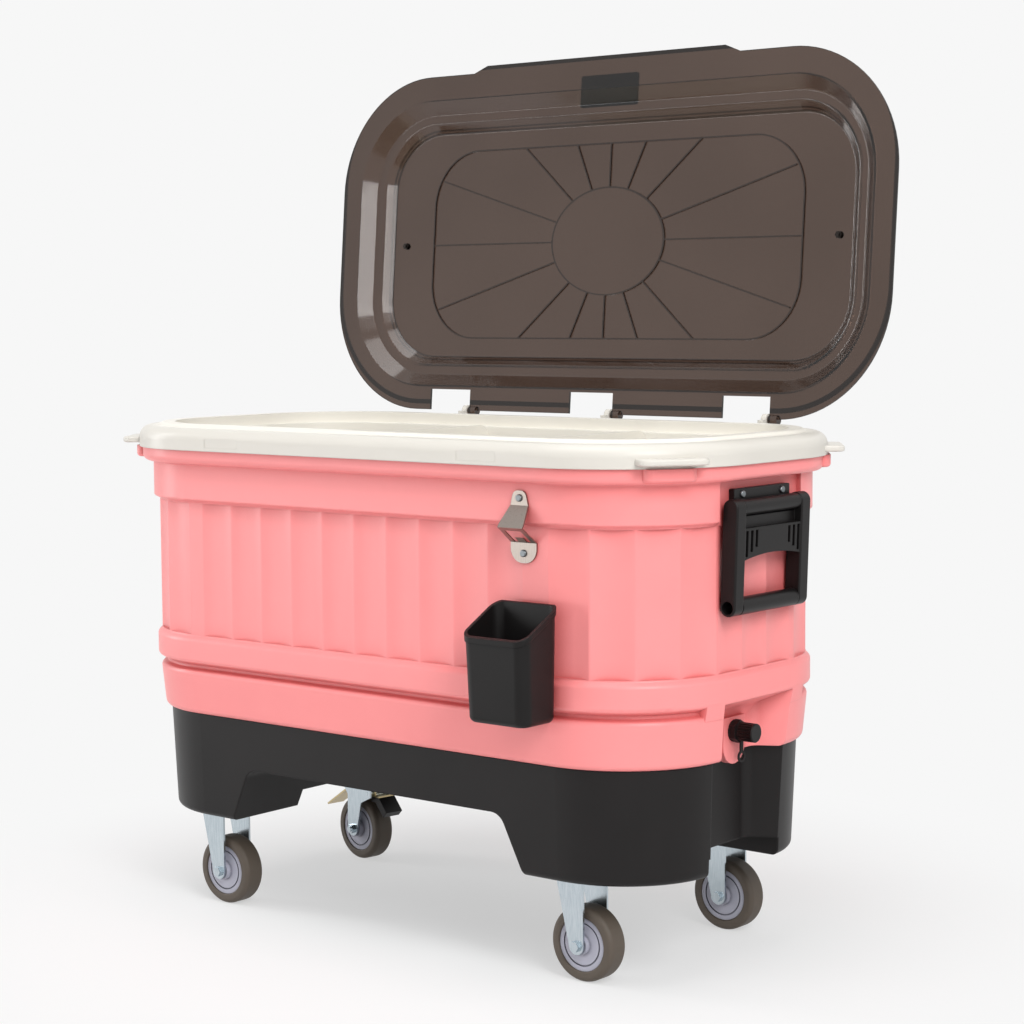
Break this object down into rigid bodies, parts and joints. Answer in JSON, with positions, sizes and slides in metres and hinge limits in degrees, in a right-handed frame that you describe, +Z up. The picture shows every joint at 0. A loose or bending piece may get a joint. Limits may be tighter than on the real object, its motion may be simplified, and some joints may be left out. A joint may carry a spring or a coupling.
{
  "type": "party bar cooler",
  "caption": "Insulated drinks cooler on swivel casters, with a hinged see-through lid, lift-out dividers, swing handles, bottle opener, cap catcher and drain.",
  "frame": {"origin": "on the floor, under the middle of the tub", "axes": "+X along the cooler towards its drain end, +Y to its back, where the lid hinges, +Z up"},
  "size_m": [0.9926, 0.6371, 1.1905],
  "materials": {
    "shell_plastic": "satin coral pink",
    "foam": "open cell matt",
    "liner_plastic": "satin off-white",
    "smoked_plastic": "glossy smoked, see-through",
    "dark_plastic": "satin black",
    "base_plastic": "fine grained near-black",
    "dark_steel": "blackened",
    "zinc_steel": "bright zinc",
    "yellow_zinc_steel": "yellow zinc",
    "stainless_steel": "brushed",
    "seal_rubber": "matt",
    "hub_plastic": "satin lilac grey",
    "tread_rubber": "matt grey-brown",
    "bush_plastic": "natural"
  },
  "bodies": {
    "tub": {"outer_shell": "shell_plastic", "foam_insulation": "foam", "liner_tub": "liner_plastic", "base_skirt": "base_plastic", "base_screws": "zinc_steel", "drain_tube": "dark_plastic", "drain_gasket": "seal_rubber", "drain_nut": "dark_plastic", "drain_tether": "seal_rubber", "handle_bracket_right": "dark_plastic", "handle_bracket_left": "dark_plastic", "handle_pins": "zinc_steel", "bottle_opener": "stainless_steel", "fitting_screws": "zinc_steel", "catcher_hanger": "zinc_steel", "catcher_hanger_screws": "zinc_steel", "caster_bolts": "zinc_steel", "caster_nuts": "zinc_steel", "kingpins": "zinc_steel", "caster_plate_front_left": "zinc_steel", "caster_plate_front_right": "zinc_steel", "caster_plate_rear_right": "zinc_steel", "caster_plate_rear_left": "zinc_steel"},
    "lid": {"lid_panel": "smoked_plastic", "lid_front_plate": "dark_plastic", "lid_screws": "dark_steel", "lid_nuts": "dark_steel"},
    "handle_right": {"handle_frame_right": "dark_plastic", "handle_grip_right": "dark_plastic"},
    "handle_left": {"handle_frame_left": "dark_plastic", "handle_grip_left": "dark_plastic"},
    "divider_left": {"divider_left": "liner_plastic"},
    "divider_right": {"divider_right": "liner_plastic"},
    "bin": {"catch_bin": "dark_plastic"},
    "drain_cap": {"drain_cap": "dark_plastic"},
    "fork_front_left": {"fork_front_left": "zinc_steel", "axle_front_left": "zinc_steel"},
    "wheel_front_left": {"hub_front_left": "hub_plastic", "tyre_front_left": "tread_rubber", "bush_front_left": "bush_plastic"},
    "fork_front_right": {"fork_front_right": "zinc_steel", "axle_front_right": "zinc_steel"},
    "wheel_front_right": {"hub_front_right": "hub_plastic", "tyre_front_right": "tread_rubber", "bush_front_right": "bush_plastic"},
    "fork_rear_right": {"fork_rear_right": "zinc_steel", "axle_rear_right": "zinc_steel"},
    "wheel_rear_right": {"hub_rear_right": "hub_plastic", "tyre_rear_right": "tread_rubber", "bush_rear_right": "bush_plastic"},
    "fork_rear_left": {"fork_rear_left": "zinc_steel", "axle_rear_left": "zinc_steel", "brake_pin": "zinc_steel"},
    "wheel_rear_left": {"hub_rear_left": "hub_plastic", "tyre_rear_left": "tread_rubber", "bush_rear_left": "bush_plastic"},
    "brake": {"brake_pedal": "yellow_zinc_steel", "brake_tab": "dark_plastic"}
  },
  "joints": [
    {"name": "lid_hinge", "type": "hinge", "parent": "tub", "child": "lid", "pos_m": [0, 0.262, 0.67815], "axis": [-1, 0, 0], "range_deg": [-94.8, 0]},
    {"name": "handle_right_swing", "type": "hinge", "parent": "tub", "child": "handle_right", "pos_m": [0.481, 0, 0.59], "axis": [0, -1, 0], "range_deg": [0, 95]},
    {"name": "handle_left_swing", "type": "hinge", "parent": "tub", "child": "handle_left", "pos_m": [-0.481, 0, 0.59], "axis": [0, 1, 0], "range_deg": [0, 95]},
    {"name": "divider_left_lift", "type": "slide", "parent": "tub", "child": "divider_left", "axis": [0, 0, 1], "range_m": [0, 0.4]},
    {"name": "divider_right_lift", "type": "slide", "parent": "tub", "child": "divider_right", "axis": [0, 0, 1], "range_m": [0, 0.4]},
    {"name": "bin_lift", "type": "slide", "parent": "tub", "child": "bin", "axis": [0, 0, 1], "range_m": [0, 0.045]},
    {"name": "drain_cap_pull", "type": "slide", "parent": "tub", "child": "drain_cap", "axis": [1, 0, 0], "range_m": [0, 0.025]},
    {"name": "swivel_front_left", "type": "hinge", "parent": "tub", "child": "fork_front_left", "pos_m": [-0.328, -0.155, 0.1361], "axis": [0, 0, 1], "continuous": true},
    {"name": "roll_front_left", "type": "hinge", "parent": "fork_front_left", "child": "wheel_front_left", "pos_m": [-0.312, -0.155, 0.0475], "axis": [0, 1, 0], "continuous": true},
    {"name": "swivel_front_right", "type": "hinge", "parent": "tub", "child": "fork_front_right", "pos_m": [0.304, -0.155, 0.1361], "axis": [0, 0, 1], "continuous": true},
    {"name": "roll_front_right", "type": "hinge", "parent": "fork_front_right", "child": "wheel_front_right", "pos_m": [0.32, -0.155, 0.0475], "axis": [0, 1, 0], "continuous": true},
    {"name": "swivel_rear_right", "type": "hinge", "parent": "tub", "child": "fork_rear_right", "pos_m": [0.304, 0.155, 0.1361], "axis": [0, 0, 1], "continuous": true},
    {"name": "roll_rear_right", "type": "hinge", "parent": "fork_rear_right", "child": "wheel_rear_right", "pos_m": [0.32, 0.155, 0.0475], "axis": [0, 1, 0], "continuous": true},
    {"name": "swivel_rear_left", "type": "hinge", "parent": "tub", "child": "fork_rear_left", "pos_m": [-0.328, 0.155, 0.1361], "axis": [0, 0, 1], "continuous": true},
    {"name": "roll_rear_left", "type": "hinge", "parent": "fork_rear_left", "child": "wheel_rear_left", "pos_m": [-0.3438, 0.1575, 0.0475], "axis": [-0.1564, -0.9877, 0], "continuous": true},
    {"name": "brake_press", "type": "hinge", "parent": "fork_rear_left", "child": "brake", "pos_m": [-0.30923, 0.15203, 0.1061], "axis": [-0.1564, -0.9877, 0], "range_deg": [0, 6]}
  ]
}
